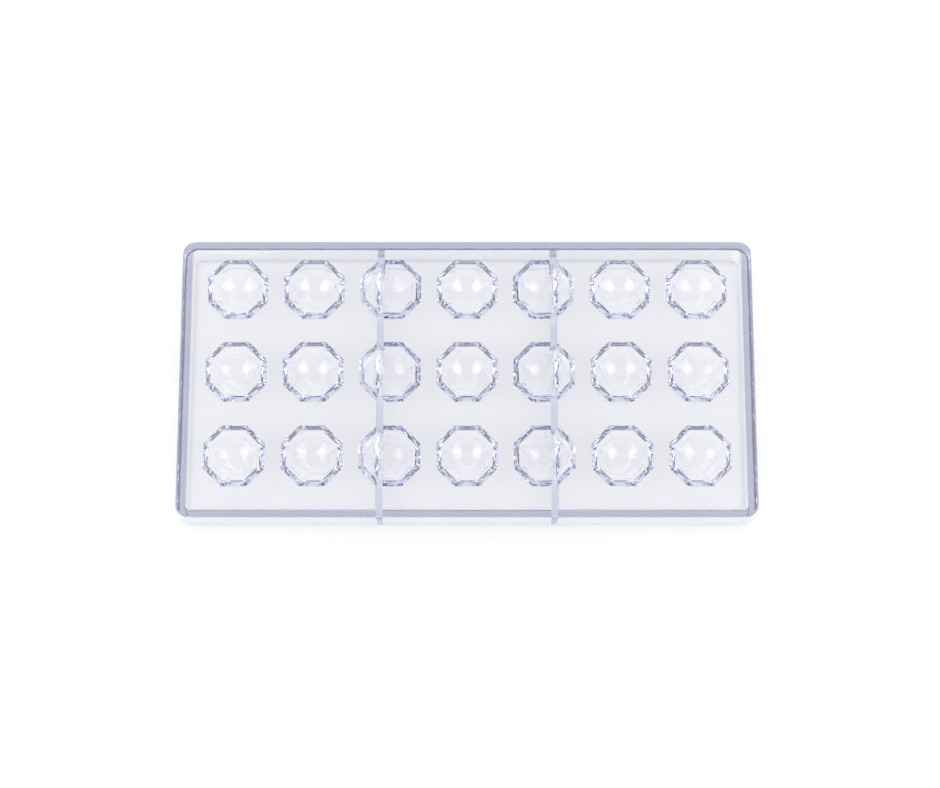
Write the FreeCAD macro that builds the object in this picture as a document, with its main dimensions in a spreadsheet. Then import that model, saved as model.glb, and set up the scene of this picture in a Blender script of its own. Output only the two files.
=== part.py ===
import FreeCAD, Part
import math
import os
import Sketcher

os.makedirs("parts", exist_ok=True)

# Clear moulded tray with faceted hollows for pralines, in millimetres.
# The foot of the skirt stands on the plane Z 0, the hollows open upwards,
# X runs along the rows, Y towards the far long side.

document = FreeCAD.newDocument("ChocolateMould")
sizes = document.addObject("Spreadsheet::Sheet", "Sizes")

VALUES = [
    ("tray_length", "275", "length of the tray along X"),
    ("tray_width", "135", "width of the tray along Y"),
    ("tray_height", "24", "height from the foot to the top face"),
    ("corner_round", "6", "outer radius of the four upright corners"),
    ("inner_corner_round", "2.5", "inner radius of the four upright corners"),
    ("edge_round", "1", "rounding of the outer edge round the top face"),
    ("foot_outer_round", "1.8", "rounding of the foot's outer edge"),
    ("foot_inner_round", "1", "rounding of the foot's inner edge"),
    ("plate_thickness", "2.4", "thickness of the top plate"),
    ("wall_thickness", "3.4", "thickness of the skirt wall at its foot"),
    ("root_round", "0.8", "rounding where the skirt meets the plate"),
    ("draft_angle", "1", "draft of the long inner wall faces and of the ribs, in degrees"),
    ("end_draft_angle", "3.4", "draft of the short inner wall faces, in degrees"),
    ("mouth_flats", "24.4", "width of a hollow's mouth across its flats"),
    ("shell_thickness", "2.4", "wall of a hollow, square to its facets"),
    ("facet_step", "30", "turn from one ring of facets to the next, in degrees"),
    ("facet_count", "8", "facets in one ring"),
    ("column_count", "7", "hollows along X"),
    ("row_count", "3", "hollows along Y"),
    ("side_margin", "26.95", "from a short side to the first column's centre"),
    ("near_margin", "29.7", "from the near long side to the first row's centre"),
    ("far_margin", "23.5", "from the far long side to the last row's centre"),
    ("rib_spacing", "83.2", "between the middles of the two cross ribs"),
    ("rib_thickness", "3.4", "thickness of a cross rib at its root"),
    ("rib_lift", "1", "height of a rib's free edge over the foot"),
]

# Each size is one cell with the alias that names it
for row, (alias, number, meaning) in enumerate(VALUES, start=1):
    sizes.set("A%d" % row, alias)
    sizes.set("B%d" % row, number)
    sizes.set("C%d" % row, meaning)
    sizes.setAlias("B%d" % row, alias)
document.recompute()

SAME_LEVEL = 1e-4
RIB_DEPTH = "Sizes.tray_height - Sizes.plate_thickness - Sizes.rib_lift"

mould = document.addObject("PartDesign::Body", "Mould")
mould.Label = "chocolate_mould"


def origin_part(role, body=mould):
    """The plane or axis of a body's own origin with this role."""
    return [part for part in body.Origin.OriginFeatures if part.Role == role][0]


def new_sketch(name, role):
    """An empty sketch on one of the mould's own planes."""
    sketch = mould.newObject("Sketcher::SketchObject", name)
    sketch.AttachmentSupport = [(origin_part(role), "")]
    sketch.MapMode = "FlatFace"
    return sketch


def dimension(sketch, name, expression, kind, *places):
    """A named dimension of the sketch that follows an expression on the sheet."""
    index = sketch.addConstraint(Sketcher.Constraint(kind, *places))
    sketch.renameConstraint(index, name)
    sketch.setExpression("Constraints." + name, expression)


def draw_round_rectangle(sketch, length, width, corner, guess):
    """A centred rectangle with four tangent corner arcs, its sizes given as expressions."""
    half_x, half_y, radius = guess[0] / 2, guess[1] / 2, guess[2]
    right, top = half_x - radius, half_y - radius
    line = lambda a, b: Part.LineSegment(FreeCAD.Vector(*a), FreeCAD.Vector(*b))
    up = FreeCAD.Vector(0, 0, 1)
    arc = lambda x, y, start: Part.ArcOfCircle(
        Part.Circle(FreeCAD.Vector(x, y), up, radius), start, start + math.pi / 2
    )
    sketch.addGeometry(line((-right, -half_y), (right, -half_y)), False)
    sketch.addGeometry(arc(right, -top, -math.pi / 2), False)
    sketch.addGeometry(line((half_x, -top), (half_x, top)), False)
    sketch.addGeometry(arc(right, top, 0), False)
    sketch.addGeometry(line((right, half_y), (-right, half_y)), False)
    sketch.addGeometry(arc(-right, top, math.pi / 2), False)
    sketch.addGeometry(line((-half_x, top), (-half_x, -top)), False)
    sketch.addGeometry(arc(-right, -top, math.pi), False)
    for side in (0, 2, 4, 6):
        before = (side - 1) % 8
        sketch.addConstraint(Sketcher.Constraint("Tangent", before, 2, side, 1))
        sketch.addConstraint(Sketcher.Constraint("Tangent", side, 2, side + 1, 1))
    for side in (0, 4):
        sketch.addConstraint(Sketcher.Constraint("Horizontal", side))
    for side in (2, 6):
        sketch.addConstraint(Sketcher.Constraint("Vertical", side))
    for other in (3, 5, 7):
        sketch.addConstraint(Sketcher.Constraint("Equal", 1, other))
    sketch.addConstraint(Sketcher.Constraint("Symmetric", 1, 3, 5, 3, -1, 1))
    dimension(sketch, "Corner", corner, "Radius", 1, radius)
    dimension(sketch, "Length", length, "DistanceX", 6, 1, 2, 1, guess[0])
    dimension(sketch, "Width", width, "DistanceY", 0, 1, 4, 1, guess[1])


def draw_rectangle(sketch, length, width, guess):
    """A centred rectangle with square corners, its sizes given as expressions."""
    half_x, half_y = guess[0] / 2, guess[1] / 2
    corners = [(-half_x, -half_y), (half_x, -half_y), (half_x, half_y), (-half_x, half_y)]
    for start, end in zip(corners, corners[1:] + corners[:1]):
        sketch.addGeometry(Part.LineSegment(FreeCAD.Vector(*start), FreeCAD.Vector(*end)), False)
    for side in range(4):
        sketch.addConstraint(Sketcher.Constraint("Coincident", side, 2, (side + 1) % 4, 1))
    for side in (0, 2):
        sketch.addConstraint(Sketcher.Constraint("Horizontal", side))
    for side in (1, 3):
        sketch.addConstraint(Sketcher.Constraint("Vertical", side))
    sketch.addConstraint(Sketcher.Constraint("Symmetric", 0, 1, 2, 1, -1, 1))
    dimension(sketch, "Length", length, "DistanceX", 0, 1, 0, 2, guess[0])
    dimension(sketch, "Width", width, "DistanceY", 1, 1, 1, 2, guess[1])


def draw_rib_section(sketch):
    """A rib's section, widest at the plate and narrowed to its free edge by the draft."""
    middle, foot = sizes.get("rib_spacing") / 2, sizes.get("rib_lift")
    root = sizes.get("tray_height") - sizes.get("plate_thickness")
    half = sizes.get("rib_thickness") / 2
    slant = (root - foot) * math.tan(math.radians(sizes.get("draft_angle")))
    corners = [
        (middle - half, root),
        (middle - half + slant, foot),
        (middle + half - slant, foot),
        (middle + half, root),
    ]
    for start, end in zip(corners, corners[1:] + corners[:1]):
        sketch.addGeometry(Part.LineSegment(FreeCAD.Vector(*start), FreeCAD.Vector(*end)), False)
    for side in range(4):
        sketch.addConstraint(Sketcher.Constraint("Coincident", side, 2, (side + 1) % 4, 1))
    for side in (1, 3):
        sketch.addConstraint(Sketcher.Constraint("Horizontal", side))
    sketch.addConstraint(Sketcher.Constraint("Equal", 0, 2))
    thickness = "Sizes.rib_thickness"
    edge = "%s - 2 * (%s) * tan(Sizes.draft_angle * 1 deg)" % (thickness, RIB_DEPTH)
    dimension(sketch, "Root", thickness, "DistanceX", 0, 1, 3, 1, 2 * half)
    dimension(sketch, "Edge", edge, "DistanceX", 1, 1, 1, 2, 2 * (half - slant))
    dimension(sketch, "Depth", RIB_DEPTH, "DistanceY", 1, 2, 2, 2, root - foot)
    dimension(sketch, "Lift", "Sizes.rib_lift", "DistanceY", -1, 1, 1, 1, foot)
    place = "(Sizes.rib_spacing - %s) / 2" % thickness
    dimension(sketch, "Place", place, "DistanceX", -1, 1, 0, 1, middle - half)


def edges_at(feature, level):
    """Names of the feature's edges that lie at one height."""
    names = []
    for number, edge in enumerate(feature.Shape.Edges, start=1):
        box = edge.BoundBox
        if abs(box.ZMin - level) < SAME_LEVEL and abs(box.ZMax - level) < SAME_LEVEL:
            names.append("Edge%d" % number)
    return names


def on_outline(edge):
    """Whether both ends of an edge lie in the tray's outer faces."""
    half_x, half_y = sizes.get("tray_length") / 2, sizes.get("tray_width") / 2
    return all(
        abs(abs(end.X) - half_x) < SAME_LEVEL or abs(abs(end.Y) - half_y) < SAME_LEVEL
        for end in edge.Vertexes
    )


def foot_edges(feature, outer):
    """Names of the outer or of the inner edges round the foot."""
    edges = feature.Shape.Edges
    names = edges_at(feature, 0)
    return [name for name in names if on_outline(edges[int(name[4:]) - 1]) == outer]


def reaches(piece, low, high):
    """Whether a face or edge runs from one height to another."""
    box = piece.BoundBox
    return abs(box.ZMin - low) < SAME_LEVEL and abs(box.ZMax - high) < SAME_LEVEL


def draft_walls(name, feature, axis, angle):
    """A draft on the two upright walls of the hollow that face along one axis."""
    names = [
        "Face%d" % number
        for number, face in enumerate(feature.Shape.Faces, start=1)
        if reaches(face, 0, underside) and abs(face.normalAt(0, 0).dot(axis)) > 0.9
    ]
    draft = mould.newObject("PartDesign::Draft", name)
    draft.Base = (feature, names)
    draft.NeutralPlane = (origin_part("XY_Plane"), [""])
    draft.Reversed = True
    draft.setExpression("Angle", angle)
    feature.Visibility = False
    document.recompute()
    return draft


def round_edges(name, feature, names, radius):
    """A fillet on the named edges of the feature."""
    fillet = mould.newObject("PartDesign::Fillet", name)
    fillet.Base = (feature, names)
    fillet.setExpression("Radius", radius)
    feature.Visibility = False
    document.recompute()
    return fillet


def volume_changed(name, before, grows):
    """Stops unless the body's volume moved the way the last feature should move it."""
    change = mould.Shape.Volume - before
    if (change > 0) != grows or abs(change) < 1:
        raise RuntimeError("%s changed the volume by %.3f" % (name, change))
    return mould.Shape.Volume


# Outer block of the tray
outline = new_sketch("Outline", "XY_Plane")
draw_round_rectangle(
    outline,
    "Sizes.tray_length",
    "Sizes.tray_width",
    "Sizes.corner_round",
    (sizes.get("tray_length"), sizes.get("tray_width"), sizes.get("corner_round")),
)
block = mould.newObject("PartDesign::Pad", "Block")
block.Profile = outline
block.setExpression("Length", "Sizes.tray_height")
document.recompute()
volume = volume_changed("Block", 0, True)

top_names = edges_at(block, sizes.get("tray_height"))
top_edges = round_edges("TopEdges", block, top_names, "Sizes.edge_round")
volume = volume_changed("TopEdges", volume, False)

# Hollow under the plate, which narrows upwards by its drafts
opening = new_sketch("HollowFoot", "XY_Plane")
draw_rectangle(
    opening,
    "Sizes.tray_length - 2 * Sizes.wall_thickness",
    "Sizes.tray_width - 2 * Sizes.wall_thickness",
    (
        sizes.get("tray_length") - 2 * sizes.get("wall_thickness"),
        sizes.get("tray_width") - 2 * sizes.get("wall_thickness"),
    ),
)
hollow = mould.newObject("PartDesign::Pocket", "Hollow")
hollow.Profile = opening
hollow.Reversed = True
hollow.setExpression("Length", "Sizes.tray_height - Sizes.plate_thickness")
document.recompute()
volume = volume_changed("Hollow", volume, False)

underside = sizes.get("tray_height") - sizes.get("plate_thickness")
long_draft = draft_walls("LongDraft", hollow, FreeCAD.Vector(0, 1, 0), "Sizes.draft_angle")
volume = volume_changed("LongDraft", volume, True)

end_draft = draft_walls("EndDraft", long_draft, FreeCAD.Vector(1, 0, 0), "Sizes.end_draft_angle")
volume = volume_changed("EndDraft", volume, True)

corner_names = [
    "Edge%d" % number
    for number, edge in enumerate(end_draft.Shape.Edges, start=1)
    if reaches(edge, 0, underside)
]
corners = round_edges("InnerCorners", end_draft, corner_names, "Sizes.inner_corner_round")
volume = volume_changed("InnerCorners", volume, True)

foot_outside = foot_edges(corners, True)
outer_foot = round_edges("FootOutside", corners, foot_outside, "Sizes.foot_outer_round")
volume = volume_changed("FootOutside", volume, False)

foot_inside = foot_edges(outer_foot, False)
inner_foot = round_edges("FootInside", outer_foot, foot_inside, "Sizes.foot_inner_round")
volume = volume_changed("FootInside", volume, False)

root_names = edges_at(inner_foot, underside)
skirt_root = round_edges("SkirtRoot", inner_foot, root_names, "Sizes.root_round")
volume = volume_changed("SkirtRoot", volume, True)

# Two cross ribs that hang from the plate and end inside the long walls
rib_section = new_sketch("RibSection", "XZ_Plane")
draw_rib_section(rib_section)
rib = mould.newObject("PartDesign::Pad", "Rib")
rib.Profile = rib_section
rib.Midplane = True
rib.setExpression("Length", "Sizes.tray_width - Sizes.wall_thickness")
document.recompute()
volume = volume_changed("Rib", volume, True)

ribs = mould.newObject("PartDesign::Mirrored", "Ribs")
ribs.Originals = [rib]
ribs.MirrorPlane = (origin_part("YZ_Plane"), [""])
mould.Tip = ribs
document.recompute()
volume = volume_changed("Ribs", volume, True)

# The section of a hollow is half of a polygon whose sides all touch one circle:
# an upright band, two sloping rings and a level cap
FIRST_X = "Sizes.side_margin - Sizes.tray_length / 2"
FIRST_Y = "Sizes.near_margin - Sizes.tray_width / 2"
BAND_SHARE = "tan(Sizes.facet_step / 2 * 1 deg)"
MIDDLE_SHARE = "cos(45 deg) / cos(45 deg - Sizes.facet_step * 1 deg)"


def polygon(name, reach, level):
    """A level regular polygon over the first hollow, with flats that face X and Y."""
    ring = document.addObject("Part::RegularPolygon", name)
    ring.setExpression("Polygon", "Sizes.facet_count")
    ring.setExpression("Circumradius", "(%s) / cos(180 deg / Sizes.facet_count)" % reach)
    ring.setExpression("Placement.Base.x", FIRST_X)
    ring.setExpression("Placement.Base.y", FIRST_Y)
    ring.setExpression("Placement.Base.z", level)
    ring.setExpression("Placement.Rotation.Angle", "180 deg / Sizes.facet_count")
    return ring


def faceted_form(name, radius, top_level):
    """The flat-faced solid of one hollow, about a circle of this radius in the top face."""
    corners = [
        ("Mouth", radius, top_level),
        ("Band", radius, "Sizes.tray_height - (%s) * %s" % (radius, BAND_SHARE)),
        (
            "Middle",
            "(%s) * %s" % (radius, MIDDLE_SHARE),
            "Sizes.tray_height - (%s) * %s" % (radius, MIDDLE_SHARE),
        ),
        ("Cap", "(%s) * %s" % (radius, BAND_SHARE), "Sizes.tray_height - (%s)" % radius),
    ]
    form = document.addObject("Part::Loft", name + "Form")
    form.Sections = [polygon(name + part, reach, level) for part, reach, level in corners]
    form.Solid = True
    form.Ruled = True
    form.Linearize = True
    return form


def grid_of(name, form):
    """A body with copies of a form in every column and row."""
    body = document.addObject("PartDesign::Body", name)
    body.AllowCompound = True
    body.BaseFeature = form
    grid = body.newObject("PartDesign::LinearPattern", name + "Grid")
    grid.TransformMode = "Whole shape"
    grid.Direction = (origin_part("X_Axis", body), [""])
    grid.Direction2 = (origin_part("Y_Axis", body), [""])
    grid.setExpression("Length", "Sizes.tray_length - 2 * Sizes.side_margin")
    grid.setExpression("Length2", "Sizes.tray_width - Sizes.near_margin - Sizes.far_margin")
    grid.setExpression("Occurrences", "Sizes.column_count")
    grid.setExpression("Occurrences2", "Sizes.row_count")
    body.Tip = grid
    document.recompute()
    return body


def combine(name, kind, body):
    """Joins a body to the mould, or cuts it away."""
    boolean = mould.newObject("PartDesign::Boolean", name)
    boolean.Type = kind
    boolean.Group = [body]
    mould.Tip = boolean
    document.recompute()
    return boolean


# Shells of the hollows, which start inside the plate, then the hollows, open at the top face
shell_form = faceted_form(
    "Shell",
    "Sizes.mouth_flats / 2 + Sizes.shell_thickness",
    "Sizes.tray_height - Sizes.plate_thickness / 2",
)
hollow_form = faceted_form("Praline", "Sizes.mouth_flats / 2", "Sizes.tray_height")
document.recompute()
combine("WithShells", "Fuse", grid_of("Shells", shell_form))
volume = volume_changed("WithShells", volume, True)
combine("WithHollows", "Cut", grid_of("Pralines", hollow_form))
volume = volume_changed("WithHollows", volume, False)

# Every object is sound before anything is written
for item in document.Objects:
    if "Invalid" in item.State or "Error" in item.State:
        raise RuntimeError("%s failed: %s" % (item.Label, item.State))
shape = mould.Shape
if shape.isNull() or not shape.isValid() or len(shape.Solids) != 1:
    raise RuntimeError("the mould is not one sound solid")

shape.exportStep("parts/%s.step" % mould.Label)
box = shape.BoundBox
print("%s: %.2f x %.2f x %.2f mm" % (mould.Label, box.XLength, box.YLength, box.ZLength))
print("solids %d, faces %d, volume %.1f mm3" % (len(shape.Solids), len(shape.Faces), shape.Volume))
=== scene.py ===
"""Clear moulded tray for pralines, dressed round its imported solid, with the stage it is shown on."""

import functools
import math

import bmesh
import bpy
import numpy as np
from bpy.props import FloatProperty, FloatVectorProperty, PointerProperty
from bpy.types import Operator, Panel, PropertyGroup
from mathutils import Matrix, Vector


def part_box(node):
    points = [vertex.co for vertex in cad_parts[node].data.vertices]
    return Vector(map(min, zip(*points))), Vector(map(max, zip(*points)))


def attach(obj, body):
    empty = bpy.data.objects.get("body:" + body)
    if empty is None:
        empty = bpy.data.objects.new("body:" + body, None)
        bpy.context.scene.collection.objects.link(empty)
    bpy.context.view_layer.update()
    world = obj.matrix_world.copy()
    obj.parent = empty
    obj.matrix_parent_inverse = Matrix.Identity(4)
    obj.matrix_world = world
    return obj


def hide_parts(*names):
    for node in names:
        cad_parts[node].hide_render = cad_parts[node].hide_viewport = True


bl_info = {
    "name": "Praline mould",
    "version": (1, 0, 0),
    "blender": (4, 5, 0),
    "location": "View3D > Sidebar > Mould",
    "description": "Builds the finished look of a clear praline mould and its studio stage",
    "category": "Object",
}

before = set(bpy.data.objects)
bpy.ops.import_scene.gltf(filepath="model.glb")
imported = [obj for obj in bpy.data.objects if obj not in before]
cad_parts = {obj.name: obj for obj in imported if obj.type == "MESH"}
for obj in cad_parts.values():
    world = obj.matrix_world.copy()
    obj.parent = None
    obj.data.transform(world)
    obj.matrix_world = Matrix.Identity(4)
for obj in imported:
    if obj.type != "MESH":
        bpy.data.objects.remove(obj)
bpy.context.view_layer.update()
NODE = "chocolate_mould"
NODE_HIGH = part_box(NODE)[1]

# Corners of the solid's triangles that are closer than this many metres are one corner,
# and neighbouring triangles that turn by less than this angle are one face.
MERGE_DISTANCE = 2e-7
FLAT_ANGLE = math.radians(0.4)

# The grid of hollows in metres: its pitches, the place of its middle row, and how far it reaches
# each way from its middle. Past that reach the folded coordinates would find hollows that aren't there.
GRID_PITCH = (0.03685, 0.0409)
GRID_PLACE = 0.0031
GRID_REACH = (0.1285, 0.0575)

# Distances in metres from a hollow's centre that hold its facets, and the outside of its shell too.
# The shell counts from this far below the top face.
FORM_REACH = 0.0134
SHELL_REACH = 0.0156
SHELL_START = 0.00005

# A face whose normal points up by more than this is level and isn't crowned.
LEVEL_NORMAL = 0.99

# Heights in metres: the part of the foot that shades the floor fully, the part of the skirt whose
# painted shade counts twice, and a height just under the plate, below which grazed surfaces take light
# away.
FOOT_SHADE_HEIGHT = 0.0009
FOOT_PAINTED_SHADE_HEIGHT = 0.0016
UNDER_PLATE = 0.0212

# The skirt's outer skin, which takes the painted shade, lies within this many metres of the solid's
# box.
SKIN_DEPTH = 0.001

# How many waves to the metre the faint patterns have.
FLOW_WAVES = (34.0, 60.0, 60.0)
GRAIN_WAVES = 2600.0
SMEAR_WAVES = 90.0
PAPER_WAVES = 900.0

# How strongly the grain joins the flow waves, the noise value from which a smear starts, and the
# shares of the polish that a smear and the bare surface have as their roughness.
GRAIN_SHARE = 0.015
SMEAR_START = 0.35
SMEAR_SHARE = 2.0
BARE_SHARE = 0.4

# How soon a surface counts as grazed.
GRAZE_BLEND = 0.25

# Sockets of a Mix node set to colours, whose names aren't unique.
MIX_FACTOR, MIX_FIRST, MIX_SECOND, MIX_RESULT = 0, 6, 7, 2

WHITE = (1.0, 1.0, 1.0)

# The floor reaches this many metres each way, and lies this far below the tray's foot.
FLOOR_REACH = 6.0
FLOOR_DROP = 0.0002

# Name, shape, direction from the tray, distance, width and height in metres, and power in watts.
LAMPS = (
    ("left_softbox", "DISK", (-0.754, -0.226, 0.627), 1.3, 1.0, 1.0, 5.15),
    ("right_softbox", "DISK", (0.754, -0.226, 0.627), 1.3, 1.0, 1.0, 5.15),
    ("back_softbox", "RECTANGLE", (0.0, 0.74, 0.67), 1.4, 2.0, 1.0, 7.4),
)


class MouldSettings(PropertyGroup):
    """Sizes and finish of the clear tray."""

    crisp_angle: FloatProperty(
        name="Crisp angle",
        description="Edges that turn by more than this count as crisp",
        default=math.radians(18.5),
        subtype="ANGLE",
    )
    # Painted shade: this colour darkens the light through the skirt's outer skin, so that the outer
    # faces read as shaded. The plastic there is no duller.
    skirt_painted_shade: FloatVectorProperty(
        name="Skirt painted shade",
        description="Painted shade: colour of light that passes the outer skin of the skirt",
        default=(0.84, 0.87, 0.89),
        size=3,
        subtype="COLOR",
    )
    depth_colour: FloatVectorProperty(
        name="Depth colour",
        description="Colour that long ways through the plastic take on",
        default=(0.5, 0.53, 0.8),
        size=3,
        subtype="COLOR",
    )
    depth_density: FloatProperty(
        name="Depth density",
        description="How fast that colour builds up, per metre",
        default=20.0,
        min=0.0,
    )
    lamp_colour: FloatVectorProperty(
        name="Lamp colour",
        description="Share of the lamps' light that passes one surface on its way to the floor",
        default=(0.998, 0.998, 0.996),
        size=3,
        subtype="COLOR",
    )
    foot_shade: FloatVectorProperty(
        name="Foot shade",
        description="Share of that light that still reaches the floor under the skirt's foot",
        default=(0.66, 0.67, 0.73),
        size=3,
        subtype="COLOR",
    )
    edge_shade: FloatProperty(
        name="Edge shade",
        description="How much of the foot's shade the surfaces take on that the light grazes",
        default=0.65,
        min=0.0,
        max=1.0,
    )
    form_shade: FloatProperty(
        name="Form shade",
        description="How much of the foot's shade the shells of the hollows take on",
        default=0.4,
        min=0.0,
        max=1.0,
    )
    last_mirror: FloatProperty(
        name="Last mirror",
        description="Light that was turned this often inside the plastic leaves it straight on",
        default=9.0,
        min=1.0,
    )
    facet_bend: FloatProperty(
        name="Facet bend",
        description="How strongly the hollows' facets are crowned, per metre",
        default=60.0,
        min=0.0,
    )
    refraction: FloatProperty(
        name="Refraction",
        description="Refractive index of polycarbonate",
        default=1.585,
        min=1.0,
    )
    polish: FloatProperty(
        name="Polish",
        description="Roughness that the bare surface and its smears take their shares of",
        default=0.02,
        min=0.0,
        max=1.0,
    )


class StageSettings(PropertyGroup):
    """Floor, world light and camera."""

    floor_colour: FloatVectorProperty(
        name="Floor colour",
        description="Colour of the plain floor",
        default=(0.93, 0.93, 0.93),
        size=3,
        subtype="COLOR",
    )
    floor_lift: FloatProperty(
        name="Floor lift",
        description="Light that the floor adds where it is seen, so that it reads as white",
        default=0.22,
        min=0.0,
    )
    world_light: FloatProperty(
        name="World light",
        description="Strength of the even light from all round",
        default=0.4,
        min=0.0,
    )
    camera_lens: FloatProperty(
        name="Lens",
        description="Focal length in millimetres on a 36 mm wide sensor",
        default=80.66,
    )
    camera_distance: FloatProperty(
        name="Camera distance",
        description="From the camera to the point it looks at",
        default=1.0032,
        unit="LENGTH",
    )
    camera_elevation: FloatProperty(
        name="Camera elevation",
        description="Angle of the view over the floor",
        default=math.radians(77.248),
        subtype="ANGLE",
    )
    camera_aim: FloatVectorProperty(
        name="Camera aim",
        description="Point of the top face that the camera looks at",
        default=(0.00141, -0.00818, 0.024),
        size=3,
        subtype="TRANSLATION",
    )


class Socket:
    """A shader socket that adds Math nodes when it meets an operator."""

    def __init__(self, paint, link):
        self.paint, self.link = paint, link

    def _math(self, operation, *values):
        return self.paint.node("ShaderNodeMath", {"operation": operation}, dict(enumerate(values)))

    def __add__(self, other):
        return self._math("ADD", self, other)

    def __radd__(self, other):
        return self._math("ADD", other, self)

    def __sub__(self, other):
        return self._math("SUBTRACT", self, other)

    def __rsub__(self, other):
        return self._math("SUBTRACT", other, self)

    def __mul__(self, other):
        return self._math("MULTIPLY", self, other)

    def __rmul__(self, other):
        return self._math("MULTIPLY", other, self)

    def largest(self, other):
        """The larger of this and another value."""
        return self._math("MAXIMUM", self, other)

    def smallest(self, other):
        """The smaller of this and another value."""
        return self._math("MINIMUM", self, other)

    def wrapped(self, half):
        """The value folded into the span from minus half to half, over and over."""
        return self._math("WRAP", self, half, -half)

    def size(self):
        """The value without its sign."""
        return self._math("ABSOLUTE", self)

    def under(self, limit):
        """One where this value is less than the limit, else nothing."""
        return self._math("LESS_THAN", self, limit)


class Paint:
    """A material's or world's node tree, emptied and filled by one method."""

    def __init__(self, tree):
        self.tree = tree
        tree.nodes.clear()

    def node(self, kind, settings=None, values=None, output=0):
        """Adds a node of this type, sets it up, then gives its sockets values or links."""
        made = self.tree.nodes.new(kind)
        for name, value in (settings or {}).items():
            setattr(made, name, value)
        for name, value in (values or {}).items():
            socket = made.inputs[name]
            if isinstance(value, Socket):
                self.tree.links.new(value.link, socket)
            elif hasattr(socket.default_value, "__len__"):
                missing = len(socket.default_value) - len(value)
                socket.default_value = tuple(value) + (1.0,) * missing
            else:
                socket.default_value = value
        return Socket(self, made.outputs[output]) if made.outputs else made


def split(paint, vector):
    """The three parts of a vector: across, along and up."""
    return [paint.node("ShaderNodeSeparateXYZ", {}, {"Vector": vector}, output=axis) for axis in "XYZ"]


def noise(paint, place, waves, detail):
    """Soft noise with this many waves to a unit of the place, and this many finer layers."""
    return paint.node("ShaderNodeTexNoise", {}, {"Vector": place, "Scale": waves, "Detail": detail})


def light_of(paint, *kinds):
    """One for rays of any of these kinds: the largest of their marks."""
    marks = [paint.node("ShaderNodeLightPath", output=f"Is {kind} Ray") for kind in kinds]
    return functools.reduce(Socket.largest, marks)


def from_centres(across, along, up):
    """How far a place is from the nearest hollow's centre, and where that counts.

    The places across and along are folded into one cell of the grid, whose centre is at nothing,
    and the height is taken from the top face. The first result is the sum of their three squares,
    the second is one within the grid's reach, and the third is one below the top face.
    """
    row = along - GRID_PLACE
    aside = across.wrapped(GRID_PITCH[0] / 2)
    ahead = row.wrapped(GRID_PITCH[1] / 2)
    deep = up - NODE_HIGH[2]
    inside = across.size().under(GRID_REACH[0]) * row.size().under(GRID_REACH[1])
    return aside * aside + ahead * ahead + deep * deep, inside, deep.under(-SHELL_START)


def outer_wall(across, along, up):
    """The skirt's outer skin, which takes the painted shade: one outside a box that is a skin's depth
    smaller, and below its top.
    """
    side, back, top = (high - SKIN_DEPTH for high in NODE_HIGH)
    within = across.size().under(side) * along.size().under(back)
    return (1.0 - within) * up.under(top)


def crowned(paint, square, inside, bend):
    """The normal of bulging facets: half the bend times the squared distance is their height.

    The height counts within the grid, up to the facets' reach, and not on level faces.
    """
    normal = paint.node("ShaderNodeNewGeometry", output="True Normal")
    turned_up = paint.node("ShaderNodeSeparateXYZ", {}, {"Vector": normal}, output="Z")
    height = square.smallest(FORM_REACH**2) * inside * turned_up.under(LEVEL_NORMAL)
    return paint.node("ShaderNodeBump", {}, {"Height": height, "Strength": 1.0, "Distance": bend / 2})


def rippled(paint, place, normal):
    """A normal with faint flow waves, drawn out across the tray, and a share of fine grain on them."""
    flow = paint.node("ShaderNodeMapping", {}, {"Vector": place, "Scale": FLOW_WAVES})
    height = noise(paint, flow, 1.0, 3.0) + noise(paint, place, GRAIN_WAVES, 2.0) * GRAIN_SHARE
    return paint.node(
        "ShaderNodeBump",
        {},
        {"Height": height, "Strength": 0.35, "Distance": 0.00012, "Normal": normal},
    )


def straight_on(paint, settings, shade):
    """Unbent light: the lamp's colour where the shade is nothing, the foot's where it is one."""
    passing = paint.node("ShaderNodeBsdfTransparent", {}, {"Color": settings.lamp_colour})
    blocking = paint.node("ShaderNodeBsdfTransparent", {}, {"Color": settings.foot_shade})
    return paint.node("ShaderNodeMixShader", {}, {0: shade, 1: passing, 2: blocking})


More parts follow.
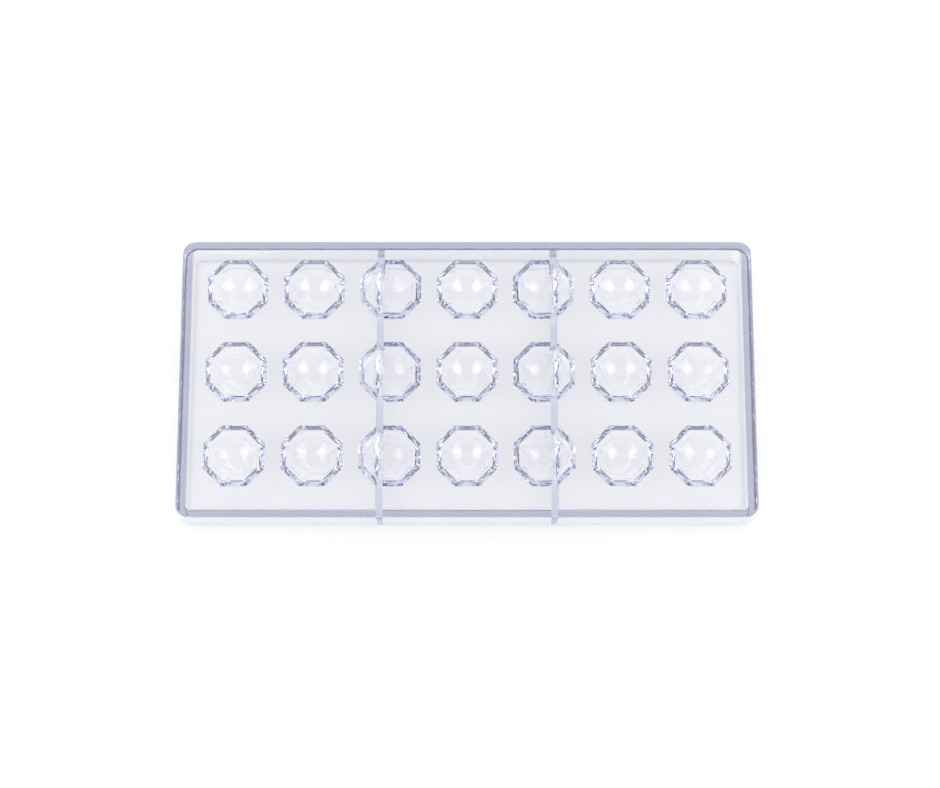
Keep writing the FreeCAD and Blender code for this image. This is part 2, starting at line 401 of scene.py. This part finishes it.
def clear_plastic(settings):
    """Clear polycarbonate: sharp refraction, and a tint that grows with the way through it.

    The skirt's outer skin is darkened with painted shade, twice as strongly at the foot. Roughness is a
    bare share of the polish, and more where a smear rises over its start. Lamps' light and light that
    was turned too often go straight on. They are shaded at the foot, at surfaces that they graze under
    the plate and at the hollows' shells.
    """
    material = bpy.data.materials.new("clear_polycarbonate")
    material.use_nodes = True
    paint = Paint(material.node_tree)
    place = paint.node("ShaderNodeTexCoord", output="Object")
    across, along, up = split(paint, place)
    square, inside, below = from_centres(across, along, up)
    crown = crowned(paint, square, inside, settings.facet_bend)
    # Painted shade on the skirt's outer skin, doubled at the foot, mixed into the base colour as a
    # tint.
    skin = outer_wall(across, along, up) * (1.0 + up.under(FOOT_PAINTED_SHADE_HEIGHT))
    tint = paint.node(
        "ShaderNodeMix",
        {"data_type": "RGBA", "clamp_factor": False},
        {MIX_FACTOR: skin, MIX_FIRST: WHITE, MIX_SECOND: settings.skirt_painted_shade},
        output=MIX_RESULT,
    )
    smears = (noise(paint, place, SMEAR_WAVES, 4.0) - SMEAR_START).largest(0.0)
    plastic = paint.node(
        "ShaderNodeBsdfPrincipled",
        {},
        {
            "Base Color": tint,
            "Roughness": smears * (settings.polish * SMEAR_SHARE) + settings.polish * BARE_SHARE,
            "IOR": settings.refraction,
            "Transmission Weight": 1.0,
            "Normal": rippled(paint, place, crown),
        },
    )
    facing = paint.node("ShaderNodeLayerWeight", {}, {"Blend": GRAZE_BLEND}, output="Facing")
    grazed = facing * settings.edge_shade * up.under(UNDER_PLATE)
    shell = square.under(SHELL_REACH**2) * inside * below
    shade = (grazed + shell * settings.form_shade).largest(up.under(FOOT_SHADE_HEIGHT))
    trapped = 1.0 - paint.node("ShaderNodeLightPath", output="Ray Depth").under(settings.last_mirror)
    unbent = light_of(paint, "Shadow", "Diffuse").largest(trapped)
    surface = paint.node(
        "ShaderNodeMixShader", {}, {0: unbent, 1: plastic, 2: straight_on(paint, settings, shade)}
    )
    depth = paint.node(
        "ShaderNodeVolumeAbsorption",
        {},
        {"Color": settings.depth_colour, "Density": settings.depth_density},
    )
    paint.node("ShaderNodeOutputMaterial", {}, {"Surface": surface, "Volume": depth})
    return material


class MOULD_OT_tray(Operator):
    """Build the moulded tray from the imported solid, in clear plastic"""

    bl_idname = "mould.tray"
    bl_label = "Moulded tray"

    def execute(self, context):
        settings = context.scene.mould
        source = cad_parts[NODE]
        mesh = source.data.copy()
        mesh.name = "moulded_tray"
        mesh.materials.clear()
        work = bmesh.new()
        work.from_mesh(mesh)
        bmesh.ops.remove_doubles(work, verts=work.verts, dist=MERGE_DISTANCE)
        bmesh.ops.dissolve_limit(work, angle_limit=FLAT_ANGLE, verts=work.verts, edges=work.edges)
        work.to_mesh(mesh)
        work.free()
        mesh.materials.append(clear_plastic(settings))
        tray = bpy.data.objects.new("moulded_tray", mesh)
        context.collection.objects.link(tray)
        mesh.shade_smooth()
        mesh.set_sharp_from_angle(angle=settings.crisp_angle)
        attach(tray, "root")
        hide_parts(NODE)
        return {"FINISHED"}


def flat_sheet(name, reach):
    """A level square: its corners are the reach times u and v, each minus one or one."""
    u, v = np.meshgrid((-1.0, 1.0), (-1.0, 1.0))
    corners = reach * np.stack((u, v, np.zeros_like(u)), axis=-1).reshape(-1, 3)
    mesh = bpy.data.meshes.new(name)
    mesh.from_pydata(corners.tolist(), [], [(0, 1, 3, 2)])
    return mesh


def pale_floor(settings):
    """Matt paper with a faint grain. It adds its lift where it is seen, also through the tray."""
    material = bpy.data.materials.new("pale_floor")
    material.use_nodes = True
    paint = Paint(material.node_tree)
    paper = noise(paint, paint.node("ShaderNodeTexCoord", output="Object"), PAPER_WAVES, 2.0)
    relief = paint.node("ShaderNodeBump", {}, {"Height": paper, "Strength": 0.05, "Distance": 0.0002})
    seen = light_of(paint, "Camera", "Glossy", "Transmission")
    shader = paint.node(
        "ShaderNodeBsdfPrincipled",
        {},
        {
            "Base Color": settings.floor_colour,
            "Roughness": 0.9,
            "Specular IOR Level": 0.0,
            "Normal": relief,
            "Emission Color": WHITE,
            "Emission Strength": seen * settings.floor_lift,
        },
    )
    paint.node("ShaderNodeOutputMaterial", {}, {"Surface": shader})
    return material


def even_world(strength):
    """A world of plain white light."""
    world = bpy.data.worlds.new("studio")
    world.use_nodes = True
    paint = Paint(world.node_tree)
    plain = paint.node("ShaderNodeBackground", {}, {"Color": WHITE, "Strength": strength})
    paint.node("ShaderNodeOutputWorld", {}, {"Surface": plain})
    return world


def softbox(context, name, shape, direction, distance, width, height, power):
    """A soft lamp of this shape that faces the tray from a direction and distance."""
    lamp = bpy.data.lights.new(name, "AREA")
    lamp.shape = shape
    lamp.size, lamp.size_y = width, height
    lamp.energy = power
    piece = bpy.data.objects.new(name, lamp)
    towards = Vector(direction).normalized()
    piece.location = towards * distance
    piece.rotation_euler = towards.to_track_quat("Z", "Y").to_euler()
    context.collection.objects.link(piece)


def camera_above(context, settings):
    """A camera that looks at its aim from the near side, at its elevation and distance."""
    data = bpy.data.cameras.new("camera")
    data.lens = settings.camera_lens
    data.sensor_width = 36.0
    data.clip_start = 0.01
    camera = bpy.data.objects.new("camera", data)
    away = Vector((0.0, -math.cos(settings.camera_elevation), math.sin(settings.camera_elevation)))
    camera.location = Vector(settings.camera_aim) + away * settings.camera_distance
    camera.rotation_euler = away.to_track_quat("Z", "Y").to_euler()
    context.collection.objects.link(camera)
    return camera


class MOULD_OT_stage(Operator):
    """Build the floor, the lamps and the camera"""

    bl_idname = "mould.stage"
    bl_label = "Studio stage"

    def execute(self, context):
        scene, settings = context.scene, context.scene.mould_stage
        floor_mesh = flat_sheet("floor", FLOOR_REACH)
        floor_mesh.materials.append(pale_floor(settings))
        floor = bpy.data.objects.new("floor", floor_mesh)
        floor.location.z = -FLOOR_DROP
        context.collection.objects.link(floor)
        scene.world = even_world(settings.world_light)
        for lamp in LAMPS:
            softbox(context, *lamp)
        scene.camera = camera_above(context, settings)
        scene.view_settings.view_transform = "Standard"
        scene.cycles.caustics_refractive = False
        scene.cycles.caustics_reflective = False
        scene.cycles.max_bounces = 24
        scene.cycles.transmission_bounces = 20
        scene.cycles.glossy_bounces = 12
        scene.cycles.transparent_max_bounces = 24
        return {"FINISHED"}


class MOULD_PT_panel(Panel):
    """Lists the steps that build the mould and its stage"""

    bl_idname = "MOULD_PT_panel"
    bl_label = "Praline mould"
    bl_space_type = "VIEW_3D"
    bl_region_type = "UI"
    bl_category = "Mould"

    def draw(self, context):
        column = self.layout.column()
        for group, operator in (
            (context.scene.mould, MOULD_OT_tray),
            (context.scene.mould_stage, MOULD_OT_stage),
        ):
            for name in group.bl_rna.properties.keys():
                if name not in ("rna_type", "name"):
                    column.prop(group, name)
            column.operator(operator.bl_idname)


CLASSES = (MouldSettings, StageSettings, MOULD_OT_tray, MOULD_OT_stage, MOULD_PT_panel)


def register():
    """Registers every class and hangs both groups of settings on the scene."""
    for cls in CLASSES:
        bpy.utils.register_class(cls)
    bpy.types.Scene.mould = PointerProperty(type=MouldSettings)
    bpy.types.Scene.mould_stage = PointerProperty(type=StageSettings)


def unregister():
    """Removes the settings and the classes again."""
    del bpy.types.Scene.mould_stage
    del bpy.types.Scene.mould
    for cls in reversed(CLASSES):
        bpy.utils.unregister_class(cls)


def main():
    """Builds everything."""
    register()
    bpy.ops.mould.tray()
    bpy.ops.mould.stage()


if __name__ == "__main__":
    main()
